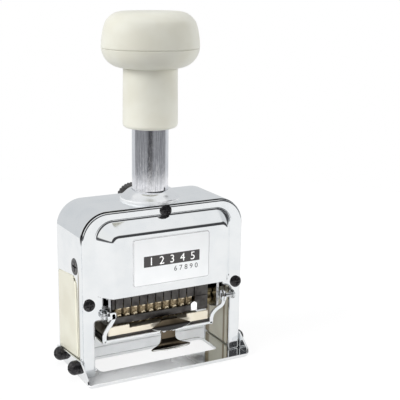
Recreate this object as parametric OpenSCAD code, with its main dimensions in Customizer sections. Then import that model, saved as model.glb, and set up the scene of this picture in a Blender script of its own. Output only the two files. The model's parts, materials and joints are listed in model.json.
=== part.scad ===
// Hand numbering machine with ten type wheels, swinging ink pad and push plunger.
// Frame: X to the right, Y to the back, Z up, origin under the centre of the base.

/* [Housing] */
// Width over the arch
housing_w = 67.8; // [66:0.1:68]
// Depth between the outer faces of the front and rear plates
housing_d = 26.5; // [26:0.1:27]
// Height of the arch top above the table
housing_top = 64.65; // [64:0.05:66]
// Outer radius of the two top corners
corner_r = 10.5; // [9:0.1:12]
// Wall thickness of the arch
wall = 2.2; // [2:0.1:2.6]
// Sheet thickness of the front and rear plates
sheet = 1.1; // [0.9:0.1:1.2]
// How far the raised front cover stands out
cover_rise = 5.35; // [4:0.05:5.6]
// Height of the cut lower edge of the raised cover
cover_low = 33.0; // [32.6:0.1:34]

/* [Base] */
// Base plate thickness
base_t = 1.3; // [1:0.1:1.4]
// Front edge of the base plate
base_front = -19.6; // [-21:0.1:-19.6]
// Rear edge of the base plate
base_rear = 13.6; // [13.5:0.1:15]
// Half width over the upturned ears
base_half_w = 34.7; // [34.6:0.05:35]

/* [Plunger] */
// Radius of the plunger tube
tube_r = 6.95; // [6.7:0.05:7]
// Height of the lower end of the handle
neck_low = 92.2; // [91:0.1:94]
// Height of the joint between handle neck and knob
knob_low = 114.5; // [113:0.1:116]
// Overall height
knob_top = 135; // [134:0.1:136]

/* [Type wheels] */
// Number of digits
wheel_count = 10; // [10:1:10]
// Spacing of the wheels on the axle
wheel_pitch = 3.35; // [3.3:0.01:3.36]
// Left end of the wheel row
wheels_left = -20.9; // [-21:0.1:-20.8]
// Radius over the type faces
type_r = 8.5; // [8.3:0.1:8.5]
// Radius of the wheel axle
axle_r = 2.0; // [1.8:0.1:2.2]

/* [Ink pad] */
// Left end of the ink tray
tray_left = -25.4; // [-25.5:0.1:-25.2]
// Right end of the ink tray
tray_right = 19.4; // [19:0.1:19.6]
// Height of the inked surface
felt_top = 16.35; // [16.2:0.05:16.4]

/* [Hidden] */

// Clearance between fixed parts that only need to slip together
slip = 0.05;
// Radial running clearance of pins and shafts
run = 0.05;
// How far a cutter runs past the face it cuts
over = 1;

front_y = -housing_d / 2;
rear_y = housing_d / 2;
shell_front = front_y + sheet;
shell_d = housing_d - 2 * sheet;
plate_inset = 0.3;
plate_w = housing_w - 2 * plate_inset;
side_x = housing_w / 2;
cover_face = front_y - cover_rise;
rear_cover_rise = 3.0;
foot_half_w = 28.1;
foot_top = 60.8;
foot_corner_r = 6.6;
cover_draw = 4.1;

// Lower opening of the front plate
leg_inner = 29.0;
leg_wide_inner = 25.6;
leg_step_z = 23.3;
pin_notch = [26.2, 26.4, 3.1];

// Side openings, drawn as (y, z)
open_low_y = -9.3;
open_low_z = 7.3;
open_high_y = -8.35;
open_rear_low_z = 4.95;
open_top_z = 39.3;
open_rear_top_z = 37.1;
open_corner_r = 4.0;
rear_leg_y = 9.0;
skin_t = 1.1;
panel_gap = 0.12;
panel_front_gap = 2.0;
panel_edge = 0.9;
tongue_low_z = 1.6;

// Screws
front_screw_r = 2.3;
front_screw_h = 1.35;
front_shank_r = 0.95;
front_shank_l = 3.7;
front_screw_places = [[0, 62.75], [-31.3, 30.2], [31.3, 30.2]];
screw_notch_r = 2.45;
rear_screw_places = [[-22, 60.6], [22, 60.6], [-30.2, 30.1], [30.2, 30.1]];
boss_r = 1.9;
boss_l = 3.0;
base_screw_r = 2.75;
base_screw_h = 3.6;
base_shank_r = 1.0;
base_shank_l = 3.0;
base_bend_r = 2.0;
base_screw_places = [[-8.6, 4.4], [6.5, 4.4]];
side_screw_y = -5.7;
side_screw_z = 43.3;
side_screw_r = 3.15;
side_shank_r = 1.4;
side_cone_h = 1.75;

// Bush and tube
bush_flange_r = 11.6;
bush_spigot_r = 8.2;
bush_top_z = 68.5;
bush_low_z = 61.9;
tube_bore_r = 5.3;
tube_low_z = 35.5;
tube_top_z = 98.0;
slot_low_z = 41.4;
slot_half_w = 2.2;
bar_low_z = 41.8;
bar_high_z = 44.8;
bar_half_w = 1.9;
bar_end_x = side_x - wall - slip;
seat_low_z = 94;
spring_wire_r = 0.5;
spring_r = 4.3;
spring_turns = 12;

// Carriage
axle_y = -3.9;
axle_z = 25.2;
web_low_z = 34.1;
carriage_front = -12.9;
left_plate_x = -23.4;
mid_plate_x = 17.8;
right_plate_x = 22.9;
plate_t = 1.1;
guard_t = 0.6;
guard_low_z = 21.0;
comb_low_z = 27.0;
comb_high_z = 33.9;
comb_right_x = 18.6;
comb_left_x = -22.2;
rod_y = -11.1;
rod_z = 31.6;
rod_r = 0.9;
rod_left_x = -24.0;
comb_screw_x = [-16, -6, 4, 14];
comb_screw_z = 32.6;
comb_screw_r = 0.6;

// Feed
yoke_left_x = -22.05;
yoke_right_x = 13.0;
yoke_t = 0.9;
feed_bar_in = 9.8;
feed_bar_out = 11.4;
feed_bar_h = 3.0;
ratchet_tip_r = 6.9;

// Pad, hung from pivot pins in front of the housing legs
pivot_y = -14.5;
pivot_z = 25.6;
pin_r = 0.9;
eye_in_x = 24.3;
eye_out_x = 25.3;
lug_t = 1.0;
left_lug_x = -26.6;
right_lug_x = 28.9;
tray_front = -15.05;
tray_rear = 5.0;
tray_low_z = 15.0;
tray_wall_z = 17.3;
tray_side_z = 16.1;
tray_t = 0.8;
tray_front_t = 1.3;
tray_floor_t = 0.6;
holder_low_z = 14.4;
holder_front_low_z = 15.2;
holder_flange_z = 16.3;
arm_t = 0.7;
arm_front = tray_front - arm_t;
rivet_x = [-2, 2];
rivet_z = 16.6;
rivet_r = 0.5;
rivet_in = 1.5;
tab_t = 0.7;
tab_half_w = 3.3;

// Dial
dial_z = 60.65;
dial_r = 6.6;
dial_front_y = 13.6;
dial_rear_y = 17.7;
dial_recess_y = 16.7;
dial_screw_r = 1.2;
knob_seam_z = 121.7;

CHROME = "gainsboro";
IVORY = "ivory";
STEEL = "silver";
DARK = "dimgray";
BLACK = "black";
BRASS = "goldenrod";

// ---- shared shapes ----

// Arch outline in (x, z): straight sides, two rounded top corners
module arch(w, low, high, r) {
    translate([-w / 2, low]) square([w, high - low - r]);
    translate([-w / 2 + r, low]) square([w - 2 * r, high - low]);
    for (side = [-1, 1])
        translate([side * (w / 2 - r), high - r]) circle(r, $fn = 96);
}

// Rounded rectangle centred on x between two heights or depths
module round_rect(x0, x1, v0, v1, r) {
    translate([x0 + r, v0]) square([x1 - x0 - 2 * r, v1 - v0]);
    translate([x0, v0 + r]) square([x1 - x0, v1 - v0 - 2 * r]);
    for (x = [x0 + r, x1 - r], v = [v0 + r, v1 - r])
        translate([x, v]) circle(r, $fn = 48);
}

// Stands an (x, z) outline up and gives it depth from y0 backwards
module upright(y0, depth) {
    translate([0, y0 + depth, 0]) rotate([90, 0, 0]) linear_extrude(depth) children();
}

// Stands a (y, z) outline up and gives it width from x0 to the right
module sideways(x0, width) {
    translate([x0, 0, 0]) rotate([90, 0, 90]) linear_extrude(width) children();
}

// Shaft along X from x0 to x1
module shaft(x0, x1, y, z, r) {
    translate([x0, y, z]) rotate([0, 90, 0]) cylinder(h = x1 - x0, r = r, $fn = 64);
}

// Domed cross-head screw, head above z = 0
module pan_screw(head_r, head_h, shank_r, shank_l) {
    dome_r = (head_r * head_r + head_h * head_h * 0.36) / (1.2 * head_h);
    difference() {
        union() {
            rotate_extrude($fn = 64) intersection() {
                translate([0, head_h - dome_r]) circle(dome_r, $fn = 128);
                square([head_r, head_h]);
            }
            translate([0, 0, -shank_l]) cylinder(h = shank_l, r = shank_r, $fn = 32);
        }
        for (turn = [0, 90])
            rotate(turn) translate([-head_r * 0.55, -0.3, head_h - 0.6])
                cube([head_r * 1.1, 0.6, over]);
    }
}

// Puts a screw of the front, rear, left or right face in place
module at_front(x, z, y) { translate([x, y, z]) rotate([90, 0, 0]) children(); }
module at_rear(x, z, y) { translate([x, y, z]) rotate([-90, 0, 0]) children(); }
module at_left(y, z, x) { translate([x, y, z]) rotate([0, -90, 0]) children(); }
module at_right(y, z, x) { translate([x, y, z]) rotate([0, 90, 0]) children(); }

// Outline of a side opening; front and edge say how far it is drawn in
module side_outline(front, edge, rear) {
    slope = (open_high_y - open_low_y) / (open_top_z - open_low_z);
    corner_y = open_high_y + front + open_corner_r;
    corner_z = open_top_z - edge - open_corner_r;
    top_fall = (open_top_z - open_rear_top_z) / (rear_y - corner_y);
    polygon(concat(
        [[rear, open_rear_top_z - edge + (rear_y - rear) * top_fall]],
        [for (a = [90:15:180])
            [corner_y + open_corner_r * cos(a), corner_z + open_corner_r * sin(a)]],
        [[open_low_y + front, open_low_z + edge + slope], [rear, open_rear_low_z + edge]]));
}

// ---- housing ----

module housing_shell() {
    color(CHROME) difference() {
        union() {
            difference() {
                upright(shell_front, shell_d) arch(housing_w, base_t, housing_top, corner_r);
                upright(shell_front - over, shell_d + 2 * over)
                    arch(housing_w - 2 * wall, base_t - over, housing_top - wall,
                        corner_r - wall);
            }
            for (p = front_screw_places)
                intersection() {
                    at_front(p[0], p[1], shell_front + boss_l)
                        cylinder(h = boss_l, r = boss_r, $fn = 48);
                    upright(shell_front, shell_d)
                        arch(housing_w, base_t, housing_top, corner_r);
                }
        }
        for (side = [-1, 1]) {
            skin_x = side > 0 ? side_x - skin_t : -side_x - over;
            through_x = side > 0 ? side_x - wall - over : -side_x - over;
            sideways(skin_x, skin_t + over) side_outline(0, 0, rear_y + over);
            sideways(through_x, wall + 2 * over) side_outline(0, 0, rear_leg_y);
        }
        cylinder_z(bush_spigot_r, housing_top - wall - over, housing_top + over);
        for (p = front_screw_places)
            at_front(p[0], p[1], shell_front + boss_l + over)
                cylinder(h = boss_l + 2 * over, r = front_shank_r, $fn = 32);
        for (p = rear_screw_places)
            at_front(p[0], p[1], rear_y)
                cylinder(h = 2 * boss_l, r = front_shank_r, $fn = 32);
        for (p = base_screw_places)
            shaft(-side_x - over, side_x + over, p[0], p[1], base_shank_r);
        side_screw_pair();
    }
    color(CHROME) for (p = rear_screw_places)
        difference() {
            at_rear(p[0], p[1], -shell_front - boss_l)
                cylinder(h = boss_l, r = abs(p[0]) > 25 ? 1.35 : boss_r, $fn = 48);
            at_rear(p[0], p[1], -shell_front - boss_l - over)
                cylinder(h = boss_l + 2 * over, r = front_shank_r, $fn = 32);
            upright(shell_front, shell_d) ring_outside();
        }
}

// Everything outside the inner face of the arch, for trimming bosses
module ring_outside() {
    difference() {
        translate([-2 * housing_w, -housing_top])
            square([4 * housing_w, 3 * housing_top]);
        arch(housing_w - 2 * wall, -over, housing_top - wall, corner_r - wall);
    }
}

module cylinder_z(r, z0, z1) {
    translate([0, 0, z0]) cylinder(h = z1 - z0, r = r, $fn = 96);
}

// Raised cover between the flange and its face, drawn in by inset
module cover_block(inset, back) {
    hull() {
        upright(front_y + back, 0.02)
            cover_outline(foot_half_w - inset, foot_top - inset, foot_corner_r - inset);
        upright(cover_face + inset, 0.02)
            cover_outline(foot_half_w - cover_draw - inset, foot_top - cover_draw - inset,
                foot_corner_r - cover_draw - 0.8 * inset);
    }
}

module cover_outline(half_w, high, r) {
    translate([-half_w, cover_low]) square([2 * half_w, high - cover_low - r]);
    translate([-half_w + r, cover_low]) square([2 * half_w - 2 * r, high - cover_low]);
    for (side = [-1, 1])
        translate([side * (half_w - r), high - r]) circle(r, $fn = 32);
}

module front_plate() {
    color(CHROME) difference() {
        union() {
            upright(front_y, sheet)
                arch(plate_w, base_t, housing_top - plate_inset, corner_r - plate_inset);
            cover_block(0, 0.02);
            for (x = [left_lug_x, right_lug_x])
                sideways(x, lug_t) {
                    translate([pivot_y, pivot_z]) circle(1.7, $fn = 48);
                    translate([pivot_y, pivot_z - 1.7])
                        square([front_y - pivot_y + 0.1, 3.4]);
                }
        }
        cover_block(sheet, sheet);
        upright(front_y - over, sheet + 2 * over) {
            translate([-leg_inner, 0]) square([2 * leg_inner, leg_step_z]);
            translate([-leg_wide_inner, 0]) square([2 * leg_wide_inner, cover_low]);
            translate([pin_notch[0], pin_notch[1]]) circle(pin_notch[2], $fn = 48);
            translate([leg_wide_inner - over, leg_step_z - over])
                square([leg_inner - leg_wide_inner + over, pin_notch[1] - leg_step_z + over]);
            cover_outline(foot_half_w - sheet, foot_top - sheet, foot_corner_r - sheet);
        }
        at_front(front_screw_places[0][0], front_screw_places[0][1], front_y)
            cylinder(h = cover_rise, r = screw_notch_r, $fn = 64);
        for (p = front_screw_places)
            at_front(p[0], p[1], shell_front + over)
                cylinder(h = sheet + over, r = front_shank_r, $fn = 32);
        for (x = [left_lug_x, right_lug_x])
            shaft(x - over, x + lug_t + over, pivot_y, pivot_z, pin_r);
    }
}

module rear_plate() {
    color(CHROME) difference() {
        union() {
            upright(rear_y - sheet, sheet)
                arch(plate_w, base_t, housing_top - plate_inset, corner_r - plate_inset);
            hull() {
                upright(rear_y, 0.02) round_rect(-26, 26, 8, 47, 5);
                upright(rear_y + rear_cover_rise - 0.02, 0.02)
                    round_rect(-23.5, 23.5, 10.5, 44.5, 3);
            }
        }
        hull() {
            upright(rear_y - sheet - 0.5, 0.02) round_rect(-24.9, 24.9, 9.1, 45.9, 4);
            upright(rear_y + rear_cover_rise - sheet, 0.02)
                round_rect(-22.4, 22.4, 11.6, 43.4, 2);
        }
        for (p = rear_screw_places)
            at_rear(p[0], p[1], rear_y - sheet - over)
                cylinder(h = sheet + 2 * over, r = front_shank_r, $fn = 32);
        at_rear(0, dial_z, rear_y - sheet - over)
            cylinder(h = sheet + 2 * over, r = dial_screw_r, $fn = 32);
    }
}

module name_plate() {
    color("whitesmoke") upright(cover_face - 0.3, 0.3)
        round_rect(-16, 16, 36.9, 54.7, 0.6);
}

// Clip-in infill: outer skin over the recess, a plug through the wall and a tongue
// down the inside of the wall
module side_panel(side) {
    skin = skin_t - panel_gap / 2;
    skin_edge = 0.5;
    tongue_x = side_x - wall - 1.2;
    color(IVORY) {
        hull() {
            sideways(side > 0 ? side_x - skin - 0.05 : -side_x + 0.05 + skin_edge, skin - skin_edge)
                side_outline(panel_front_gap, panel_gap, -shell_front);
            sideways(side > 0 ? side_x - 0.05 - skin_edge : -side_x + 0.05, skin_edge)
                side_outline(panel_front_gap + panel_edge, panel_gap, -shell_front);
        }
        sideways(side > 0 ? tongue_x : -side_x + wall + slip, 1.2 - slip)
            translate([open_low_y + 0.4, tongue_low_z])
                square([rear_leg_y - panel_gap - open_low_y - 0.4, open_low_z]);
        sideways(side > 0 ? side_x - wall - 1.2 : -side_x + skin + 0.05, wall + 1.15 - skin)
            side_outline(panel_gap, panel_gap, rear_leg_y - panel_gap);
    }
}

module side_panel_left() { side_panel(-1); }
module side_panel_right() { side_panel(1); }

module base_plate() {
    color(CHROME) difference() {
        union() {
            translate([-base_half_w, base_front, 0])
                cube([2 * base_half_w, base_rear - base_front, base_t]);
            for (x = [-base_half_w, side_x + slip / 2])
                sideways(x, base_half_w - side_x - slip / 2)
                    polygon([[base_front, 0], [base_front, base_t], [-19.0, 3.3],
                        [-12.5, 8.0], [11.6, 5.5], [base_rear, 5.0], [base_rear, 0]]);
        }
        translate([0, 0, -over]) linear_extrude(base_t + 2 * over)
            round_rect(-25.5, 25.5, -10.2, 3.6, 1.75);
        for (p = base_screw_places)
            shaft(-base_half_w - over, base_half_w + over, p[0], p[1], base_shank_r);
        for (side = [-1, 1])
            upright(base_front - over, base_rear - base_front + 2 * over)
                outer_bend(side);
    }
}

// Waste outside the rounded lower edge where an ear is bent up
module outer_bend(side) {
    difference() {
        translate([side * base_half_w - (side > 0 ? base_bend_r : over), -over])
            square([base_bend_r + over, base_bend_r + over]);
        translate([side * (base_half_w - base_bend_r), base_bend_r])
            circle(base_bend_r, $fn = 64);
    }
}

module front_screws() {
    color(BLACK) for (p = front_screw_places)
        at_front(p[0], p[1], front_y)
            pan_screw(front_screw_r, front_screw_h, front_shank_r, front_shank_l);
}

module rear_screws() {
    color(BLACK) for (p = rear_screw_places)
        at_rear(p[0], p[1], rear_y)
            pan_screw(front_screw_r, front_screw_h, front_shank_r, front_shank_l);
}

module base_screws() {
    color(BLACK) for (p = base_screw_places) {
        at_left(p[0], p[1], -base_half_w)
            pan_screw(base_screw_r, base_screw_h, base_shank_r, base_shank_l);
        at_right(p[0], p[1], base_half_w)
            pan_screw(base_screw_r, base_screw_h, base_shank_r, base_shank_l);
    }
}

// Countersunk screw bodies that also cut their own seats
module side_screw_pair() {
    for (side = [-1, 1])
        translate([side * side_x, side_screw_y, side_screw_z]) rotate([0, side * 90, 0]) {
            translate([0, 0, -side_cone_h])
                cylinder(h = side_cone_h, r1 = side_shank_r, r2 = side_screw_r, $fn = 64);
            translate([0, 0, -7]) cylinder(h = 7 - side_cone_h, r = side_shank_r, $fn = 32);
        }
}

module side_screws() {
    color(BLACK) difference() {
        side_screw_pair();
        for (x = [-side_x - over, side_x - 0.8])
            translate([x, side_screw_y, side_screw_z]) {
                translate([0, -2, -0.3]) cube([0.8 + over, 4, 0.6]);
                translate([0, -0.3, -2]) cube([0.8 + over, 0.6, 4]);
            }
    }
}

module guide_bush() {
    color(CHROME) rotate_extrude($fn = 128) polygon([
        [tube_r + run, bush_low_z], [bush_spigot_r, bush_low_z],
        [bush_spigot_r, housing_top], [bush_flange_r, housing_top],
        [bush_flange_r, housing_top + 0.7], [bush_flange_r - 0.4, housing_top + 1.1],
        [10.2, 66.7], [9.2, 67.7], [8.2, 68.3], [7.4, bush_top_z],
        [tube_r + run, bush_top_z]]);
}

// Bar across the housing; its narrow middle passes through the slot of the tube
module cross_bar() {
    color(STEEL) difference() {
        union() {
            translate([-bar_end_x, -bar_half_w, bar_low_z])
                cube([2 * bar_end_x, 2 * bar_half_w, bar_high_z - bar_low_z]);
            for (x = [-bar_end_x, 12])
                translate([x, -8.4, bar_low_z])
                    cube([bar_end_x - 12, 11, bar_high_z - bar_low_z]);
        }
        side_screw_pair();
    }
}

module pad_pivot_pins() {
    color(STEEL) {
        shaft(left_lug_x - 0.3, -eye_in_x + 0.3, pivot_y, pivot_z, pin_r);
        shaft(eye_in_x - 0.3, right_lug_x + lug_t + 0.3, pivot_y, pivot_z, pin_r);
    }
}

// ---- repeat dial on the back ----

module dial_screw() {
    color(STEEL) translate([0, 0, dial_z]) rotate([-90, 0, 0]) difference() {
        union() {
            translate([0, 0, rear_y - sheet - 1.5])
                cylinder(h = dial_recess_y - rear_y + sheet + 2.5, r = dial_screw_r, $fn = 48);
            translate([0, 0, rear_y - sheet - 1.5]) cylinder(h = 1.5, r = 1.6, $fn = 48);
            translate([0, 0, dial_recess_y + 0.2]) cylinder(h = 1.2, r = 2.2, $fn = 48);
        }
        translate([-3, -0.3, dial_recess_y + 0.9]) cube([6, 0.6, over]);
    }
}

module repeat_dial() {
    color(DARK) translate([0, 0, dial_z]) rotate([-90, 0, 0]) difference() {
        translate([0, 0, dial_front_y])
            cylinder(h = dial_rear_y - dial_front_y, r = dial_r, $fn = 96);
        for (i = [0:29])
            rotate(i * 12) translate([dial_r + 0.2, 0, dial_front_y - over])
                cylinder(h = 8, r = 0.45, $fn = 16);
        translate([0, 0, dial_front_y - over]) cylinder(h = 8, r = dial_screw_r + run, $fn = 48);
        translate([0, 0, dial_recess_y]) cylinder(h = 3, r = 2.5, $fn = 48);
        translate([-0.35, 3.2, dial_rear_y - 0.4]) cube([0.7, 2.4, over]);
    }
}

module dial_pointer() {
    color(BRASS) upright(rear_y, 0.6) polygon([[-2, 50], [2, 50], [2, 51.4], [0, 53.2], [-2, 51.4]]);
}

// ---- plunger and handle ----

module plunger_tube() {
    color(CHROME) difference() {
        union() {
            cylinder_z(tube_r, tube_low_z, tube_top_z);
            cylinder_z(4, web_low_z, tube_low_z + 0.1);
        }
        cylinder_z(tube_bore_r, tube_low_z + 3, tube_top_z + over);
        translate([-10, -slot_half_w, slot_low_z])
            cube([20, 2 * slot_half_w, bush_low_z - slot_low_z]);
    }
}

module spring_seat() {
    color(STEEL) cylinder_z(tube_bore_r, seat_low_z, seat_low_z + 3);
}

// Round wire swept up a helix between two heights
module coil(r, wire, z0, z1, turns) {
    steps = 18;
    sides = 6;
    rings = turns * steps;
    rise = (z1 - z0 - 2 * wire) / rings;
    points = [for (i = [0:rings], j = [0:sides - 1])
        let (a = i * 360 / steps, b = j * 360 / sides, d = r + wire * cos(b))
        [d * cos(a), d * sin(a), z0 + wire + i * rise + wire * sin(b)]];
    walls = [for (i = [0:rings - 1], j = [0:sides - 1])
        let (k = (j + 1) % sides)
        [i * sides + j, (i + 1) * sides + j, (i + 1) * sides + k, i * sides + k]];
    first = [for (j = [0:sides - 1]) j];
    last = [for (j = [sides - 1:-1:0]) rings * sides + j];
    polyhedron(points, concat(walls, [first, last]));
}

module return_spring() {
    color(STEEL) coil(spring_r, spring_wire_r, bar_high_z, seat_low_z, spring_turns);
}

module handle_neck() {
    low_r = 10.45;
    high_r = 10.2;
    edge = 1.2;
    color(IVORY) rotate_extrude($fn = 128) polygon(concat(
        [[tube_r, tube_top_z], [tube_r, neck_low]],
        [for (a = [-90:15:0])
            [low_r - edge + edge * cos(a), neck_low + edge + edge * sin(a)]],
        [[high_r, knob_low], [5, knob_low], [5, knob_low - 8], [3, knob_low - 8],
            [3, tube_top_z]]));
}

// Underside of the knob, a quarter round swept about the axis
module knob_base() {
    sweep_r = 7.9;
    color(IVORY) rotate_extrude($fn = 128) polygon(concat(
        [[0, knob_low - 7.5], [4.9, knob_low - 7.5], [4.9, knob_low]],
        [for (a = [-90:6:-6])
            [10.4 + sweep_r * cos(a), knob_low + sweep_r + sweep_r * sin(a)]],
        [[10.4 + sweep_r, knob_seam_z], [15.5, knob_seam_z], [14, knob_seam_z - 2],
            [0, knob_seam_z - 2]]));
}

module knob_cap() {
    color(IVORY) rotate_extrude($fn = 128) polygon([[15.5, knob_seam_z], [18.3, knob_seam_z],
        [18.28, 122.6], [18.1, 125], [17.6, 128.2], [16.8, 131], [15.7, 132.4],
        [14.4, 133.6], [12.8, 134.5], [10.8, knob_top], [0, knob_top], [0, knob_top - 2.5],
        [10.5, knob_top - 2.6], [14.4, 130], [15.4, 126]]);
}

// ---- carriage ----

// Side plate outline in (y, z)
module carriage_side() {
    polygon([[carriage_front, guard_low_z], [-9, 19.6], [1, 19.6], [7.5, 23], [8, 26],
        [8, web_low_z + 1.4], [carriage_front, web_low_z + 1.4]]);
}

module carriage_frame() {
    color(STEEL) difference() {
        union() {
            translate([left_plate_x, carriage_front, web_low_z])
                cube([right_plate_x + plate_t - left_plate_x, 8 - carriage_front, 1.4]);
            for (x = [left_plate_x, mid_plate_x, right_plate_x])
                sideways(x, plate_t) carriage_side();
            translate([left_plate_x, carriage_front, 31.2])
                cube([mid_plate_x + plate_t - left_plate_x, 0.9, web_low_z - 31.2]);
        }
        cylinder_z(4, web_low_z - over, web_low_z + 3);
        shaft(left_plate_x - over, right_plate_x + 3, axle_y, axle_z, axle_r);
        translate([mid_plate_x - over, axle_y, axle_z]) rotate([0, 90, 0])
            cylinder(h = plate_t + 2 * over, r = 3.2 + run, $fn = 64);
        shaft(left_plate_x - over, mid_plate_x + 3, rod_y, rod_z, rod_r);
        for (x = comb_screw_x)
            at_front(x, comb_screw_z, carriage_front + 0.95)
                cylinder(h = 2, r = comb_screw_r, $fn = 24);
    }
}

module wheel_axle() {
    color(STEEL) shaft(left_plate_x - 1.6, right_plate_x + plate_t + 1.6, axle_y, axle_z, axle_r);
}

module axle_nuts() {
    color(STEEL) for (x = [left_plate_x - 1.4, right_plate_x + plate_t])
        difference() {
            translate([x, axle_y, axle_z]) rotate([0, 90, 0])
                cylinder(h = 1.4, r = 3.3, $fn = 6);
            shaft(x - over, x + 3, axle_y, axle_z, axle_r);
        }
}

module tie_rod() {
    color(STEEL) {
        shaft(rod_left_x, mid_plate_x + plate_t + 0.8, rod_y, rod_z, rod_r);
        shaft(rod_left_x, left_plate_x, rod_y, rod_z, 1.6);
    }
}

module front_guard() {
    color([0.22, 0.17, 0.14]) upright(carriage_front - guard_t, guard_t) {
        translate([left_plate_x, guard_low_z])
            square([comb_right_x - left_plate_x, 23.6 - guard_low_z]);
        translate([12.9, guard_low_z]) square([comb_right_x - 12.9, 26.85 - guard_low_z]);
    }
}

module index_marker() {
    color("white") upright(carriage_front - guard_t - 0.4, 0.4)
        polygon([[11.1, 21.3], [13.7, 21.3], [13.7, 24.2], [12.4, 25.0], [11.1, 24.2]]);
}

module detent_comb() {
    slot_w = 0.4;
    color(DARK) upright(carriage_front - guard_t, guard_t) difference() {
        translate([comb_left_x, comb_low_z])
            square([comb_right_x - comb_left_x, comb_high_z - comb_low_z]);
        for (i = [0:wheel_count])
            translate([wheels_left + i * wheel_pitch - slot_w / 2, comb_low_z - over])
                square([slot_w, 31 - comb_low_z + over]);
        for (x = comb_screw_x)
            translate([x, comb_screw_z]) circle(comb_screw_r, $fn = 24);
    }
}

module comb_screws() {
    color(STEEL) for (x = comb_screw_x)
        at_front(x, comb_screw_z, carriage_front - guard_t)
            pan_screw(1.1, 0.7, comb_screw_r, 1.4);
}

// ---- type wheels ----

// Type ring with ten raised faces and a toothed ratchet on its left side
module number_wheel(index) {
    core_r = 7.7;
    face_w = 4.4;
    color(BRASS)
    translate([wheels_left + index * wheel_pitch, axle_y, axle_z]) rotate([0, 90, 0])
    difference() {
        union() {
            translate([0, 0, 0.8]) cylinder(h = 2.5, r = core_r, $fn = 96);
            translate([0, 0, 0.1]) linear_extrude(0.75) ratchet(ratchet_tip_r, 5.9, 10);
            intersection() {
                translate([0, 0, 0.9]) cylinder(h = 2.3, r = type_r, $fn = 96);
                for (i = [0:9])
                    rotate(i * 36) translate([core_r - 0.5, -face_w / 2, 0.9])
                        cube([2, face_w, 2.3]);
            }
        }
        translate([0, 0, -over]) cylinder(h = 6, r = axle_r + run, $fn = 64);
    }
}

// Saw-tooth wheel outline
module ratchet(tip_r, root_r, teeth) {
    polygon([for (i = [0:teeth - 1], k = [0, 1])
        let (a = (i + k * 0.15) * 360 / teeth, r = k == 0 ? root_r : tip_r)
        [r * cos(a), r * sin(a)]]);
}

module number_wheel_01() { number_wheel(0); }
module number_wheel_02() { number_wheel(1); }
module number_wheel_03() { number_wheel(2); }
module number_wheel_04() { number_wheel(3); }
module number_wheel_05() { number_wheel(4); }
module number_wheel_06() { number_wheel(5); }
module number_wheel_07() { number_wheel(6); }
module number_wheel_08() { number_wheel(7); }
module number_wheel_09() { number_wheel(8); }
module number_wheel_10() { number_wheel(9); }

// ---- feed ----

// Two arms on the axle joined by a bar behind the wheels
module feed_yoke() {
    color(STEEL) difference() {
        union() {
            for (x = [yoke_left_x, yoke_right_x])
                sideways(x, yoke_t) {
                    translate([axle_y, axle_z]) circle(3.6, $fn = 64);
                    translate([axle_y, axle_z - feed_bar_h / 2])
                        square([feed_bar_out, feed_bar_h]);
                }
            translate([yoke_left_x, axle_y + feed_bar_in, axle_z - feed_bar_h / 2])
                cube([yoke_right_x + yoke_t - yoke_left_x, feed_bar_out - feed_bar_in,
                    feed_bar_h]);
        }
        shaft(yoke_left_x - over, yoke_right_x + 3, axle_y, axle_z, axle_r + run);
    }
}

// Ten pawl teeth that reach between the wheels to their ratchets
module feed_pawl() {
    tooth_w = 0.35;
    color(DARK) {
        translate([yoke_left_x + yoke_t, axle_y + feed_bar_in - 0.8, axle_z - 0.9])
            cube([yoke_right_x - yoke_left_x - yoke_t, 0.8, 1.8]);
        for (i = [0:wheel_count - 1])
            translate([wheels_left + i * wheel_pitch + 0.2, axle_y + 7.2, axle_z - 0.4])
                cube([tooth_w, feed_bar_in - 7.5, 0.8]);
    }
}

// Twelve-tooth wheel that counts the repeats of a number
module repeat_ratchet() {
    color(BRASS) translate([14.2, axle_y, axle_z]) rotate([0, 90, 0]) difference() {
        union() {
            linear_extrude(1.6) ratchet(7.6, 6.6, 12);
            cylinder(h = 6.4, r = 3.2, $fn = 64);
            translate([0, 0, 1.6]) cylinder(h = 1.5, r = 5.2, $fn = 64);
        }
        translate([0, 0, -over]) cylinder(h = 9, r = axle_r + run, $fn = 64);
    }
}

module repeat_cam() {
    color(BRASS) translate([19.2, axle_y, axle_z]) rotate([0, 90, 0]) difference() {
        cylinder(h = 3.2, r = 6.4, $fn = 64);
        for (i = [0:2])
            rotate(i * 120 + 30) translate([6.8, 0, -over]) cylinder(h = 6, r = 1.6, $fn = 32);
        translate([0, 0, -over]) cylinder(h = 6, r = 3.2, $fn = 64);
    }
}

// ---- ink pad ----

// Strip of even width along a bent line
module bent_strip(points, half_w) {
    for (i = [0:len(points) - 2])
        let (a = points[i], b = points[i + 1], d = b - a, n = [-d[1], d[0]] / norm(d) * half_w)
        polygon([a + n, a - n, b - n, b + n]);
    for (p = points) translate(p) circle(half_w, $fn = 32);
}

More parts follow.
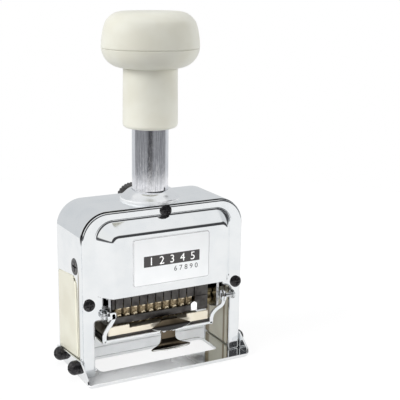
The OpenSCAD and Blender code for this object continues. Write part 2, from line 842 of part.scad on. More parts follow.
module pad_holder() {
    left_arm = [[-22.0, 25.0], [-23.2, 22.8], [-25.0, 20.4], [-26.0, 18.6], [-26.2, 16.2]];
    right_arm = [[25.0, 23.6], [24.0, 22.2], [21.4, 20.9], [19.8, 19.4], [19.3, 17.6],
        [19.3, 15.8]];
    left_end = tray_left - 1.0;
    width = tray_right + 0.4 - left_end;
    color(CHROME) difference() {
        union() {
            sideways(left_end, width)
                polygon([[arm_front, holder_front_low_z], [tray_front + 1.9, holder_low_z],
                    [tray_rear, holder_low_z], [tray_rear, tray_low_z],
                    [tray_front + 1.9, tray_low_z], [tray_front, holder_front_low_z + 0.6],
                    [tray_front, holder_flange_z], [arm_front, holder_flange_z]]);
            upright(arm_front, arm_t) {
                bent_strip(left_arm, 0.75);
                bent_strip(right_arm, 0.75);
                round_rect(-eye_out_x, -21.4, 24.0, 26.9, 0.8);
                round_rect(24.0, eye_out_x, 22.8, 26.9, 0.6);
                translate([-tab_half_w, holder_flange_z - 0.4])
                    square([2 * tab_half_w, tray_wall_z - holder_flange_z + 0.4]);
            }
            for (x = [-eye_out_x, eye_in_x])
                sideways(x, eye_out_x - eye_in_x)
                    translate([pivot_y, pivot_z]) circle(2.4, $fn = 64);
        }
        shaft(-eye_out_x - over, -eye_in_x + 0.4, pivot_y, pivot_z, pin_r + run);
        shaft(eye_in_x - 0.4, eye_out_x + over, pivot_y, pivot_z, pin_r + run);
        rivet_holes();
    }
}

// Cutters for the two rivets that hold the pull tab
module rivet_holes() {
    for (x = rivet_x)
        at_front(x, rivet_z, arm_front + rivet_in)
            cylinder(h = rivet_in + tab_t + over, r = rivet_r, $fn = 24);
}

// Shallow tray: high front wall, low sides, chamfered under the front
module ink_tray() {
    color(BLACK) difference() {
        sideways(tray_left, tray_right - tray_left)
            polygon([[tray_front, tray_wall_z], [tray_front, holder_front_low_z + 0.6],
                [tray_front + 1.9, tray_low_z], [tray_rear, tray_low_z],
                [tray_rear, tray_side_z], [tray_front + tray_front_t, tray_side_z],
                [tray_front + tray_front_t, tray_wall_z]]);
        translate([tray_left + tray_t, tray_front + tray_front_t, tray_low_z + tray_floor_t])
            cube([tray_right - tray_left - 2 * tray_t,
                tray_rear - tray_t - tray_front - tray_front_t, 9]);
        rivet_holes();
    }
}

module ink_felt() {
    gap = 0.1;
    color("cornsilk")
    translate([tray_left + tray_t + gap, tray_front + tray_front_t + gap,
        tray_low_z + tray_floor_t])
        cube([tray_right - tray_left - 2 * (tray_t + gap),
            tray_rear - tray_t - tray_front - tray_front_t - 2 * gap,
            felt_top - tray_low_z - tray_floor_t]);
}

// Ivory shield on the front wall of the tray, relieved in the middle for the wheels
module pad_lip() {
    color("cornsilk") upright(tray_front, 0.75) {
        translate([-24.3, tray_wall_z]) square([42.2, 19.4 - tray_wall_z]);
        translate([-24.3, tray_wall_z]) square([8.5, 20.8 - tray_wall_z]);
        translate([8.8, tray_wall_z]) square([9.1, 20.8 - tray_wall_z]);
    }
}

// Finger tab bent from one sheet: a narrow neck with a lip curled over at the top and
// another curled out at the bottom, both wider than the neck
module pull_tab() {
    upper_lip = [[0, 20.2], [-0.6, 20.8], [-1.3, 20.7], [-2.4, 19.7], [-3.3, 18.4]];
    lower_lip = [[0, 13.2], [-0.3, 12.3], [-1.1, 11.2], [-2.2, 10.3], [-3.3, 9.7]];
    color(CHROME) difference() {
        union() {
            tab_part([[0, 20.4], [0, 13.0]])
                translate([-tab_half_w, 12]) square([2 * tab_half_w, 9]);
            tab_part(upper_lip) tab_lip(21.4, 17.9, 18.7);
            tab_part(lower_lip) tab_lip(13.4, 9.2, 10.4);
        }
        rivet_holes();
    }
}

// Sheet bent along a (y, z) line and trimmed to a front outline
module tab_part(line) {
    intersection() {
        sideways(-10, 20) translate([arm_front - tab_t / 2, 0]) bent_strip(line, tab_t / 2);
        upright(arm_front - 6, 8) children();
    }
}

// Lip outline from the neck at top_z down to the free edge, widest at tip_z
module tab_lip(top_z, edge_z, tip_z) {
    polygon([[-tab_half_w, top_z], [tab_half_w, top_z], [tab_half_w + 1.2, tip_z + 1.4],
        [8.2, tip_z], [6.4, tip_z - 0.5], [3.2, edge_z], [0, edge_z - 0.2],
        [-3.2, edge_z], [-6.4, tip_z - 0.5], [-8.2, tip_z], [-tab_half_w - 1.2, tip_z + 1.4]]);
}

module tab_rivets() {
    color(STEEL) for (x = rivet_x)
        at_front(x, rivet_z, arm_front - tab_t) {
            translate([0, 0, -tab_t - rivet_in])
                cylinder(h = tab_t + rivet_in + 0.1, r = rivet_r, $fn = 24);
            cylinder(h = 0.4, r = 0.9, $fn = 32);
        }
}

housing_shell();
front_plate();
rear_plate();
name_plate();
side_panel_left();
side_panel_right();
base_plate();
front_screws();
rear_screws();
side_screws();
base_screws();
guide_bush();
cross_bar();
pad_pivot_pins();
dial_screw();
dial_pointer();
repeat_dial();
plunger_tube();
spring_seat();
return_spring();
handle_neck();
knob_base();
knob_cap();
carriage_frame();
wheel_axle();
axle_nuts();
tie_rod();
front_guard();
index_marker();
detent_comb();
comb_screws();
number_wheel_01();
number_wheel_02();
number_wheel_03();
number_wheel_04();
number_wheel_05();
number_wheel_06();
number_wheel_07();
number_wheel_08();
number_wheel_09();
number_wheel_10();
feed_yoke();
feed_pawl();
repeat_ratchet();
repeat_cam();
pad_holder();
ink_tray();
ink_felt();
pad_lip();
pull_tab();
tab_rivets();
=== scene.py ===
"""Hand numbering machine: dressed pieces, finishes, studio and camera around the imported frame.

Pieces are drawn in millimetres and made metres when they are finished. X is to the right, the
front faces -Y and Z is up.
"""

import json
from math import cos, pi, radians, sin, tan

import bmesh
import bpy
from mathutils import Matrix, Vector


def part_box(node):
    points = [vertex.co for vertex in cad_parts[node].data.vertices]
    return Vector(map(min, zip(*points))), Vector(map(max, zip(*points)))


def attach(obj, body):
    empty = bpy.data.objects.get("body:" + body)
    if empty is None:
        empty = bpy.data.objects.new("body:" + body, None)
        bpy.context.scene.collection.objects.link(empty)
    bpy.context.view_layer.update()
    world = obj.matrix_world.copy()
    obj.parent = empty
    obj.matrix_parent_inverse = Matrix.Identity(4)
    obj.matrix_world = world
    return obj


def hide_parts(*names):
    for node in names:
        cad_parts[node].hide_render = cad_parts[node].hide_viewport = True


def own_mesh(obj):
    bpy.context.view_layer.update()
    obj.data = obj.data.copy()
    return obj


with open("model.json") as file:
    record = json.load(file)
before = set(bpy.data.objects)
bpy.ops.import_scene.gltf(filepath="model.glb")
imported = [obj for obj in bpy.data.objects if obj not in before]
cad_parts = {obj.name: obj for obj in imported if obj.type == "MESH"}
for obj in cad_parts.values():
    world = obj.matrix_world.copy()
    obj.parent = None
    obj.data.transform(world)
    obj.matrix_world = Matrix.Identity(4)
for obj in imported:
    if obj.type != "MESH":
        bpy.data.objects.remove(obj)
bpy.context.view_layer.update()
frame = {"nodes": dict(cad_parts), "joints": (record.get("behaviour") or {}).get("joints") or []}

MM = 0.001


# ---- places read from the frame, in mm ----

joints = {joint["name"]: joint for joint in frame["joints"]}


def pivot(joint):
    """The point that a hinge turns about."""
    return [c * 1000 for c in joints[joint]["pos_m"]]


def node_box(node):
    """The low and the high corner of a CAD node."""
    return [corner * 1000 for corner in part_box(node)]


AXLE = Vector(pivot("feed_swing"))
PAD_PIVOT = pivot("pad_swing")
DIAL_PIVOT = pivot("dial_turn")


# ---- sizes of the dressed pieces, in mm ----

# front and rear plates: outer faces, thickness, and the arch that both are cut to
HOUSING_FRONT = -13.25
HOUSING_REAR = 13.25
SHEET = 1.1
ARCH_FOOT = 1.3
ARCH_TOP = 64.35
ARCH_HALF_W = 33.6
ARCH_R = 10.2

# mouth in the front plate, the narrower throat above it, and the foot of the pressed cover above both
MOUTH_HALF_W = 29.0
THROAT_HALF_W = 25.6
COVER_FOOT = 33.0

# how far a pressed panel starts in front of the sheet that it belongs to
STAND_OFF = 0.01

# label: left, right, lower and upper edge, thickness, front face, and thickness of a printed layer
LABEL_EDGES = (-16, 16, 36.3, 54.7)
LABEL_SHEET = 0.2
LABEL_FACE = -18.8
PRINT = 0.01

# repeat dial: depth of its outer face from its pivot, radius of the ring of numerals
DIAL_FACE = 2.0
DIAL_RING_R = 4.5

# type wheels: left end of the row, spacing and body radius
WHEELS_LEFT = -20.9
WHEEL_PITCH = 3.35
CORE_R = 7.75

# raised numerals: middle from a wheel's left end, height, thickness, radius they are bent to, narrowing
TYPE_MIDDLE = 2.05
TYPE_HEIGHT = 3.5
TYPE_RISE = 0.74
TYPE_WRAP_R = 8.5
TYPE_NARROWING = 0.92

# pad holder: front face and thickness of its upright parts
PAD_FRONT = -15.75
PAD_SHEET = 0.7


# ---- drawing finishes ----

class Wire:
    """A value in a node tree, so that a sum of values is written as a sum."""

    def __init__(self, bench, socket):
        self.bench, self.socket = bench, socket

    def math(self, operation, *values):
        return self.bench.node("ShaderNodeMath", {"operation": operation}, dict(enumerate(values)))

    def __add__(self, other):
        return self.math("ADD", self, other)

    def __sub__(self, other):
        return self.math("SUBTRACT", self, other)

    def __mul__(self, other):
        return self.math("MULTIPLY", self, other)

    def __truediv__(self, other):
        return self.math("DIVIDE", self, other)

    def __pow__(self, other):
        return self.math("POWER", self, other)

    def __rsub__(self, other):
        return self.math("SUBTRACT", other, self)

    def __abs__(self):
        return self.math("ABSOLUTE", self)

    __radd__ = __add__
    __rmul__ = __mul__

    def between(self, low, high):
        """Rises smoothly from 0 at low to 1 at high."""
        return self.bench.node("ShaderNodeMapRange", {"interpolation_type": "SMOOTHSTEP"},
                               {"Value": self, "From Min": low, "From Max": high})

    def within(self, low, full, fading, high):
        """Rises from 0 at low to 1 at full, and falls from 1 at fading to 0 at high."""
        return self.between(low, full) * (1 - self.between(fading, high))


class Bench:
    """Draws nodes in one tree."""

    def __init__(self, tree):
        self.tree = tree

    def node(self, kind, settings=None, values=None, out=0):
        made = self.tree.nodes.new(kind)
        for key, value in (settings or {}).items():
            setattr(made, key, value)
        for key, value in (values or {}).items():
            self.put(made.inputs[key], value)
        return Wire(self, made.outputs[out])

    def put(self, socket, value):
        if isinstance(value, Wire):
            self.tree.links.new(value.socket, socket)
        else:
            socket.default_value = value

    def split(self, vector):
        """The three values of a vector."""
        parts = self.node("ShaderNodeSeparateXYZ", values={0: vector})
        return [Wire(self, out) for out in parts.socket.node.outputs]

    def place(self, scale=(1, 1, 1), centre=(0, 0, 0)):
        """Object coordinates in metres, stretched per axis, measured from a centre in mm."""
        shift = [-c * MM * s for c, s in zip(centre, scale)]
        here = self.node("ShaderNodeTexCoord", out="Object")
        return self.node("ShaderNodeMapping", values={"Vector": here, "Location": shift, "Scale": scale})

    def position(self):
        """Object coordinates in mm, as three values."""
        return self.split(self.place((1000, 1000, 1000)))

    def noise(self, size, detail=2.0, stretch=(1, 1, 1), rough=0.5):
        """Cloudy variation whose patches are about size mm across."""
        values = {"Vector": self.place(stretch), "Scale": 1 / (size * MM),
                  "Detail": detail, "Roughness": rough}
        return self.node("ShaderNodeTexNoise", values=values)

    def mix(self, factor, first, second):
        """A colour between two colours."""
        return self.node("ShaderNodeMix", {"data_type": "RGBA"},
                         {"Factor": factor, 6: first, 7: second}, out=2)

    def bump(self, height, distance, strength=1.0, normal=None):
        """Relief whose height runs from 0 to distance mm."""
        values = {"Height": height, "Distance": distance * MM, "Strength": strength}
        if normal:
            values["Normal"] = normal
        return self.node("ShaderNodeBump", values=values)


def paint(red, green, blue):
    """A colour from its display values, 0 to 255."""
    linear = [c / 3294.6 if c <= 10 else ((c / 255 + 0.055) / 1.055) ** 2.4 for c in (red, green, blue)]
    return (*linear, 1)


class Finish(Bench):
    """A material with its surface values and the CAD's name for its slot."""

    def __init__(self, name, slot, **surface):
        self.material = bpy.data.materials.new(name)
        self.material.use_nodes = True
        self.slot = slot
        super().__init__(self.material.node_tree)
        self.shader = self.tree.nodes["Principled BSDF"]
        self.set(**surface)

    def set(self, **surface):
        """Gives the surface its values, such as Base_Color."""
        for key, value in surface.items():
            self.put(self.shader.inputs[key.replace("_", " ")], value)


def plating(name, slot, tone, shade, rough, haze, wave):
    """Chrome: cloudy haze, wipe marks and the slight waviness of pressed sheet."""
    finish = Finish(name, slot, Metallic=1.0)
    cloud = finish.noise(7, 3)
    wipes = finish.noise(0.5, 2, (0.18, 1, 1))
    swell = finish.bump(finish.noise(11, 1), wave)
    finish.colour = finish.mix(cloud.between(0.35, 0.75), tone, shade)
    finish.roughness = rough + haze * cloud.between(0.4, 0.8) + 0.4 * haze * wipes
    finish.set(Base_Color=finish.colour, Roughness=finish.roughness,
               Normal=finish.bump(wipes, 0.0006, normal=swell))
    return finish


SHEET_CHROME = {"tone": paint(247, 249, 250), "shade": paint(241, 244, 246),
                "rough": 0.045, "haze": 0.06, "wave": 0.02}


def make_housing_plating():
    """Chrome of the housing sheets.

    It is satin grey on the inside, has painted shade in the joint behind the top of the front plate,
    and painted shade with a warm painted reflection on the outer walls next to the side panels' front
    edges.
    """
    finish = plating("housing_plating", "chrome", **SHEET_CHROME)
    x, y, z = finish.position()
    front, rear = HOUSING_FRONT, HOUSING_REAR
    across = x.math("MAXIMUM", abs(x) - (ARCH_HALF_W - ARCH_R), 0)
    above = z.math("MAXIMUM", z - (ARCH_TOP - ARCH_R), 0)
    out = (across * across + above * above) ** 0.5
    inside = (1 - out.between(ARCH_R - 0.9, ARCH_R - 0.7)) \
        * y.within(front + 0.85, front + 1.05, rear - 0.85, rear - 0.65)
    # painted shade: a dark grey band in the joint behind the top of the front plate stands for the shadow
    # and dark reflection in the seam
    joint = y.within(front + 0.3, front + 0.55, front + 1.25, front + 1.45) * z.between(52.5, 55)
    panel_front = node_box("side_panel_left")[0].y
    # painted shade and a warm painted reflection: a brownish strip of the outer wall just in front of each
    # side panel's front edge
    panel_gap_shade = y.within(panel_front - 1.3, panel_front - 0.6, panel_front, panel_front + 0.1) \
        * (1 - z.between(40, 44)) * abs(x).between(ARCH_HALF_W - 0.1, ARCH_HALF_W + 0.1)
    satin = finish.mix(finish.noise(4, 3, (1, 1, 0.25)), paint(237, 238, 239), paint(222, 223, 224))
    tone = finish.mix(inside, finish.colour, satin)
    tone = finish.mix(panel_gap_shade, tone, paint(160, 151, 132))
    finish.set(Base_Color=finish.mix(joint, tone, paint(74, 74, 76)),
               Metallic=1 - 0.95 * inside,
               Roughness=finish.roughness + 0.3 * inside)
    return finish


def make_base_plating():
    """Mirror chrome of the base plate, with a pale painted reflection along the left of its front strip."""
    finish = plating("mirror_plating", "mirror_chrome", paint(248, 249, 250), paint(240, 242, 243),
                     rough=0.02, haze=0.03, wave=0.01)
    x, y, z = finish.position()
    # painted reflection: a pale, less metallic patch with a ragged edge stands for the light grey that this
    # part of the strip mirrors
    ragged = x + 3 * finish.noise(5, 2)
    pale_reflection_patch = (1 - ragged.between(4, 18)) * (1 - y.between(-9, -8)) * z.within(1.1, 1.2, 1.5, 1.8)
    finish.set(Base_Color=finish.mix(pale_reflection_patch, finish.colour, paint(227, 228, 229)),
               Metallic=1 - 0.8 * pale_reflection_patch,
               Roughness=finish.roughness + 0.25 * pale_reflection_patch)
    return finish


def make_bush_plating():
    """Chrome of the guide bush, satin around the rim of its flange."""
    finish = plating("bush_plating", "chrome", paint(248, 249, 250), paint(240, 242, 244),
                     rough=0.1, haze=0.08, wave=0.01)
    height = finish.position()[2]
    rim = 1 - height.between(65.4, 65.7)
    finish.set(Metallic=1 - 0.6 * rim, Roughness=finish.roughness + 0.25 * rim)
    return finish


def make_tab_plating():
    """Browned plating of the pull tab, with a painted highlight along the lips' front edges."""
    finish = plating("browned_plating", "chrome", paint(108, 97, 81), paint(78, 69, 56),
                     rough=0.1, haze=0.1, wave=0.03)
    depth = finish.position()[1]
    # painted highlight: the lips' front edges are given near-white metal
    lip_highlight = 1 - depth.between(-19.15, -18.8)
    finish.set(Base_Color=finish.mix(lip_highlight, finish.colour, paint(246, 246, 243)))
    return finish


def make_tube_steel():
    """Drawn tube: long mottled streaks under a bright polish."""
    finish = Finish("drawn_tube_steel", "chrome", Metallic=1.0)
    streaks = finish.noise(0.5, 4, (1, 1, 0.05), 0.65)
    mottle = finish.noise(0.9, 4, (1, 1, 0.5), 0.7)
    tone = finish.mix(streaks.between(0.35, 0.7), paint(252, 252, 255), paint(214, 216, 222))
    finish.set(Base_Color=tone,
               Roughness=0.07 + 0.12 * mottle.between(0.3, 0.8),
               Normal=finish.bump(mottle * 0.6 + streaks * 0.4, 0.012))
    return finish


def make_plastic(name, slot, light, dark, rough, grain):
    """Moulded plastic: faint colour clouds and a fine satin skin."""
    finish = Finish(name, slot, Specular_IOR_Level=0.45)
    cloud = finish.noise(9, 2)
    skin = finish.noise(0.12, 2)
    finish.colour = finish.mix(cloud.between(0.3, 0.7), light, dark)
    finish.set(Base_Color=finish.colour, Roughness=rough + 0.08 * cloud, Normal=finish.bump(skin, grain))
    return finish


def make_panel_plastic():
    """Plastic of the side panels, with painted shade along the front edge and painted shadow in two strips
    on the inner face.
    """
    finish = make_plastic("panel_plastic", "ivory_plastic", paint(210, 208, 193), paint(203, 200, 184),
                          rough=0.35, grain=0.003)
    x, y = finish.position()[:2]
    low = node_box("side_panel_right")[0]
    # painted shade: the plastic turns darker brown towards its front edge, where the panel meets the chrome
    front_edge_shade = 1 - y.between(low.y + 0.1, low.y + 1.3)
    inner = 1 - abs(x).between(low.x + 0.1, low.x + 0.3)
    # painted shadow: two brown strips on the inner face
    shadow_strips = y.between(4.5, 6) + y.within(-7.3, -6.8, -5.9, -5.4)
    painted_shade = front_edge_shade * 0.75 + inner * shadow_strips * 0.85
    finish.set(Base_Color=finish.mix(painted_shade, finish.colour, paint(128, 112, 84)))
    return finish


def make_black_oxide():
    """Blackened screw steel: a glossy skin, greyer where it is worn."""
    finish = Finish("black_oxide", "black_screw", Metallic=0.8)
    worn = finish.noise(0.8, 4, rough=0.7)
    finish.set(Base_Color=finish.mix(worn.between(0.5, 0.75), paint(52, 51, 53), paint(116, 113, 111)),
               Roughness=0.08 + 0.2 * worn,
               Normal=finish.bump(worn, 0.12))
    return finish


def make_metal(name, slot, light, dark, rough, lines, stretch=(1, 1, 1)):
    """Cut metal: fine tool lines across a cloudy tone."""
    finish = Finish(name, slot, Metallic=1.0)
    cloud = finish.noise(3, 3)
    cut = finish.noise(0.15, 2, stretch)
    finish.set(Base_Color=finish.mix(cloud.between(0.3, 0.75), light, dark),
               Roughness=rough + 0.15 * cut,
               Normal=finish.bump(cut, lines))
    return finish


def make_type_brass():
    """Type wheels: bright worn faces over dark hollows, told apart by distance from the axle."""
    finish = Finish("type_brass", "type_brass")
    spoke = finish.place((0, 1, 1), AXLE)
    out = finish.node("ShaderNodeVectorMath", {"operation": "LENGTH"}, {0: spoke}, out="Value") * 1000
    grime = finish.noise(0.5, 3)
    face = (out + 0.3 * grime).between(CORE_R + 0.2, CORE_R + 0.55)
    hollow = finish.mix(grime.between(0.35, 0.7), paint(112, 98, 76), paint(186, 168, 136))
    worn = finish.mix(grime, paint(242, 230, 204), paint(206, 188, 152))
    finish.set(Base_Color=finish.mix(face, hollow, worn),
               Metallic=0.6 - 0.4 * face,
               Roughness=0.45 - 0.2 * face + 0.15 * grime,
               Normal=finish.bump(grime, 0.01))
    return finish


def make_label_lacquer():
    """Lacquered aluminium of the label sheet."""
    finish = Finish("label_lacquer", "label", Metallic=0.5, Coat_Roughness=0.08)
    cloud = finish.noise(5, 2)
    finish.set(Base_Color=finish.mix(cloud, paint(243, 244, 245), paint(238, 240, 241)),
               Roughness=0.3 + 0.1 * cloud,
               Coat_Weight=0.3 + 0.2 * cloud,
               Normal=finish.bump(finish.noise(0.3, 1), 0.001))
    return finish


def make_felt():
    """Wool felt: matted fibres with soft hollows."""
    finish = Finish("ink_felt_wool", "felt", Sheen_Weight=0.3, Roughness=0.95)
    fibres = finish.noise(0.18, 5, (1, 0.35, 1), 0.75)
    clumps = finish.noise(1.6, 3)
    tone = finish.mix(fibres * 0.6 + clumps * 0.4, paint(210, 202, 186), paint(180, 168, 146))
    finish.set(Base_Color=tone,
               Normal=finish.bump(fibres, 0.12, normal=finish.bump(clumps, 0.15)))
    return finish


def make_ink(name, light, dark):
    """Printed ink on the label."""
    finish = Finish(name, "label")
    grain = finish.noise(0.1, 3)
    finish.set(Base_Color=finish.mix(grain, light, dark), Roughness=0.4 + 0.2 * grain)
    return finish


def make_white_paint(slot):
    """White marking paint with a soft, uneven skin."""
    finish = Finish("marking_paint_" + slot, slot)
    grain = finish.noise(0.2, 3)
    finish.set(Base_Color=finish.mix(grain, paint(250, 250, 249), paint(236, 236, 234)),
               Roughness=0.35 + 0.2 * grain,
               Normal=finish.bump(grain, 0.004))
    return finish


chrome = plating("chrome_plating", "chrome", **SHEET_CHROME)
housing_plating = make_housing_plating()
mirror = make_base_plating()
bush_plating = make_bush_plating()
tab_plating = make_tab_plating()
tube_steel = make_tube_steel()
ivory = make_plastic("ivory_plastic", "ivory_plastic", paint(232, 231, 219), paint(227, 225, 211),
                     rough=0.3, grain=0.002)
panel_ivory = make_panel_plastic()
cream = make_plastic("cream_plastic", "cream_plastic", paint(213, 206, 191), paint(206, 198, 181),
                     rough=0.35, grain=0.003)
tray_black = make_plastic("black_tray_plastic", "black_tray", paint(40, 38, 36), paint(52, 49, 46),
                          rough=0.4, grain=0.004)
black_oxide = make_black_oxide()
steel = make_metal("turned_steel", "steel", paint(225, 226, 228), paint(190, 191, 193),
                   rough=0.18, lines=0.004)
spring_steel = make_metal("spring_wire_steel", "spring_steel", paint(200, 201, 204), paint(150, 151, 155),
                          rough=0.25, lines=0.003)
dark_steel = make_metal("blued_spring_steel", "dark_steel", paint(98, 96, 94), paint(66, 63, 62),
                        rough=0.28, lines=0.004, stretch=(1, 1, 0.1))
brass = make_metal("cut_brass", "brass", paint(196, 180, 140), paint(150, 132, 94),
                   rough=0.25, lines=0.004)
type_brass = make_type_brass()
label_lacquer = make_label_lacquer()
felt = make_felt()
print_black = make_ink("print_black", paint(74, 72, 72), paint(52, 50, 50))
border_grey = make_ink("border_grey", paint(178, 178, 180), paint(160, 160, 162))
white_mark = make_white_paint("white_mark")
label_white = make_white_paint("label")
dial_white = make_white_paint("dark_steel")


# ---- shaping pieces ----

def rounded(corners, steps=6):
    """Closed outline from corners (a, b, radius), each turned into an arc."""
    line = []
    for i, (a, b, radius) in enumerate(corners):
        here = Vector((a, b))
        if not radius:
            line.append(here)
            continue
        back = (Vector(corners[i - 1][:2]) - here).normalized()
        ahead = (Vector(corners[(i + 1) % len(corners)][:2]) - here).normalized()
        half = back.angle(ahead) / 2
        centre = here + (back + ahead).normalized() * radius / sin(half)
        spoke = here + back * radius / tan(half) - centre
        turn = spoke.angle_signed(here + ahead * radius / tan(half) - centre)
        line += [centre + Matrix.Rotation(-turn * k / steps, 2) @ spoke for k in range(steps + 1)]
    return line


def rectangle(edges, radius, steps):
    """Outline of a rectangle with round corners, from its left, right, lower and upper edge."""
    left, right, low, high = edges
    return rounded([(left, low, radius), (left, high, radius), (right, high, radius),
                    (right, low, radius)], steps)


def arc(a, b, radius, degrees):
    """Points on a circle around (a, b)."""
    return [(a + radius * cos(radians(d)), b + radius * sin(radians(d))) for d in degrees]


def smooth_line(points, steps=6):
    """A flowing line through a few points."""
    path = [Vector(p) for p in points]
    path = [2 * path[0] - path[1], *path, 2 * path[-1] - path[-2]]
    line = []
    for p, q, r, s in zip(path, path[1:], path[2:], path[3:]):
        for k in range(steps):
            t = k / steps
            line.append(0.5 * (2 * q + (r - p) * t + (2 * p - 5 * q + 4 * r - s) * t * t
                               + (3 * q - p - 3 * r + s) * t ** 3))
    return line + [path[-2]]


def run_at(line, i):
    """The way a line runs at one of its points."""
    return line[min(i + 1, len(line) - 1)] - line[max(i - 1, 0)]


def band(points, half_w, steps=6):
    """Outline of a strip of even width along a flowing line, with round ends."""
    line = smooth_line(points, steps)
    left, right = [], []
    for i, here in enumerate(line):
        run = run_at(line, i).normalized()
        side = Vector((-run.y, run.x)) * half_w
        left.append(here + side)
        right.append(here - side)
    cap = []
    for end, start in ((line[-1], left[-1]), (line[0], right[0])):
        cap.append([end + Matrix.Rotation(-pi * k / 6, 2) @ (start - end) for k in range(1, 6)])
    return left + cap[0] + right[::-1] + cap[1]


def upright(a, b, depth):
    """A point of an outline that is drawn as seen from the front."""
    return (a, depth, b)


def sideways(a, b, depth):
    """A point of an outline that is drawn as seen from the right."""
    return (depth, a, b)


def slab(bm, outline, facing, start, depth):
    """A plate: a closed outline facing one way, thickened."""
    face = bm.faces.new([bm.verts.new(facing(a, b, start)) for a, b in outline])
    grown = bmesh.ops.extrude_face_region(bm, geom=[face])["geom"]
    moved = [g for g in grown if isinstance(g, bmesh.types.BMVert)]
    bmesh.ops.translate(bm, verts=moved, vec=facing(0, 0, depth))


def turned(bm, profile, centre=(0, 0, 0), axis=(0, 0, 1), steps=96):
    """A lathe-turned part: (radius, height along the axis) points swept full circle."""
    along = Vector(axis)
    out = Vector((1, 0, 0)) if abs(along.x) < 0.5 else Vector((0, 1, 0))
    verts = [bm.verts.new(Vector(centre) + out * r + along * h) for r, h in profile]
    edges = [bm.edges.new(pair) for pair in zip(verts, verts[1:])]
    bmesh.ops.spin(bm, geom=verts + edges, cent=centre, axis=along, angle=2 * pi,
                   steps=steps, use_merge=True)


def pressed(bm, outline, facing, start, steps):
    """A pressed panel: an outline drawn in and pushed out, step by step of (inset, rise)."""
    face = bm.faces.new([bm.verts.new(facing(a, b, start)) for a, b in outline])
    face.normal_update()
    sign = -1 if face.normal.dot(Vector(facing(0, 0, steps[-1][1]))) < 0 else 1
    drawn = rise = 0
    for inset, height in steps:
        bmesh.ops.inset_region(bm, faces=[face], thickness=inset - drawn,
                               depth=sign * abs(height - rise), use_even_offset=True, use_boundary=True)
        drawn, rise = inset, height


def about(axis, degrees):
    """A turn about X, Y or Z."""
    return Matrix.Rotation(radians(degrees), 3, axis)


def set_down(bm, turn, spot):
    """Turns a bench mesh about the origin, then moves it to its spot."""
    bmesh.ops.rotate(bm, verts=bm.verts, cent=(0, 0, 0), matrix=turn)
    bmesh.ops.translate(bm, verts=bm.verts, vec=spot)


def whole(bm):
    """Every vertex, edge and face of a bench mesh."""
    return [*bm.verts, *bm.edges, *bm.faces]


def cad_copy(node):
    """The mesh of a CAD node as a bench mesh, in mm, welded and with flat areas joined."""
    bm = bmesh.new()
    bm.from_mesh(frame["nodes"][node].data)
    bmesh.ops.scale(bm, vec=(1000, 1000, 1000), verts=bm.verts)
    bmesh.ops.remove_doubles(bm, verts=bm.verts, dist=0.002)
    bmesh.ops.dissolve_limit(bm, angle_limit=radians(0.5), verts=bm.verts, edges=bm.edges)
    return bm


def link(name, data):
    """An object in the scene for a mesh, curve, lamp or camera."""
    obj = bpy.data.objects.new(name, data)
    bpy.context.scene.collection.objects.link(obj)
    return obj


def plain_mesh(obj):
    """A new mesh of an object with its modifiers or its text shape applied."""
    return bpy.data.meshes.new_from_object(obj.evaluated_get(bpy.context.evaluated_depsgraph_get()))


def settle(obj, edge, segments, angle):
    """Rounds the sharp edges and keeps the result as plain mesh."""
    bevel = obj.modifiers.new("edge", "BEVEL")
    bevel.width = edge * MM
    bevel.segments = segments
    bevel.limit_method = "ANGLE"
    bevel.angle_limit = radians(angle)
    bevel.use_clamp_overlap = False
    bevel.miter_outer = "MITER_ARC"
    weigh = obj.modifiers.new("shade", "WEIGHTED_NORMAL")
    weigh.keep_sharp = True
    done = plain_mesh(obj)
    obj.modifiers.clear()
    obj.data = done


def piece(name, bm, body, finish, nodes=(), edge=0.0, segments=2, angle=40, crease=35):
    """Makes a bench mesh a finished piece that rides on a body and stands for CAD nodes."""
    bmesh.ops.remove_doubles(bm, verts=bm.verts, dist=0.0005)
    bmesh.ops.recalc_face_normals(bm, faces=bm.faces)
    bmesh.ops.scale(bm, vec=(MM, MM, MM), verts=bm.verts)
    mesh = bpy.data.meshes.new(name)
    bm.to_mesh(mesh)
    bm.free()
    mesh.shade_smooth()
    if not edge:
        mesh.set_sharp_from_angle(angle=radians(crease))
    obj = link(name, mesh)
    mesh.materials.append(finish.material)
    if edge:
        settle(obj, edge, segments, angle)
    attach(obj, body)
    if nodes:
        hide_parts(*nodes)
    return obj


def dress(node, body, finish, edge=0.12, segments=2):
    """A CAD node's own shape with its sharp edges broken."""
    piece(node + "_dressed", cad_copy(node), body, finish, [node], edge, segments)


def numerals(text, height, thick):
    """Plain numerals as a bench mesh in mm, centred, facing +Z, thick in Z."""
    size_per_height = 1.4
    curve = bpy.data.curves.new("numerals", "FONT")
    curve.body = text
    curve.size = height * size_per_height
    curve.extrude = thick / 2
    curve.align_x = "CENTER"
    curve.align_y = "CENTER"
    curve.resolution_u = 3
    holder = link("numerals", curve)
    mesh = plain_mesh(holder)
    bm = bmesh.new()
    bm.from_mesh(mesh)
    bpy.data.objects.remove(holder)
    bpy.data.curves.remove(curve)
    bpy.data.meshes.remove(mesh)
    bmesh.ops.remove_doubles(bm, verts=bm.verts, dist=0.0005)
    ys = [v.co.y for v in bm.verts]
    bmesh.ops.translate(bm, verts=bm.verts, vec=(0, -(min(ys) + max(ys)) / 2, 0))
    return bm


def join(bm, other):
    """Adds a second bench mesh to the first."""
    mesh = bpy.data.meshes.new("joined")
    other.to_mesh(mesh)
    other.free()
    bm.from_mesh(mesh)
    bpy.data.meshes.remove(mesh)


# ---- housing ----

def arch(half_w, low, high, radius, steps=20):
    """Outline of a sheet with a flat foot and two round upper corners."""
    return rounded([(-half_w, low, 0), (-half_w, high, radius), (half_w, high, radius),
                    (half_w, low, 0)], steps)


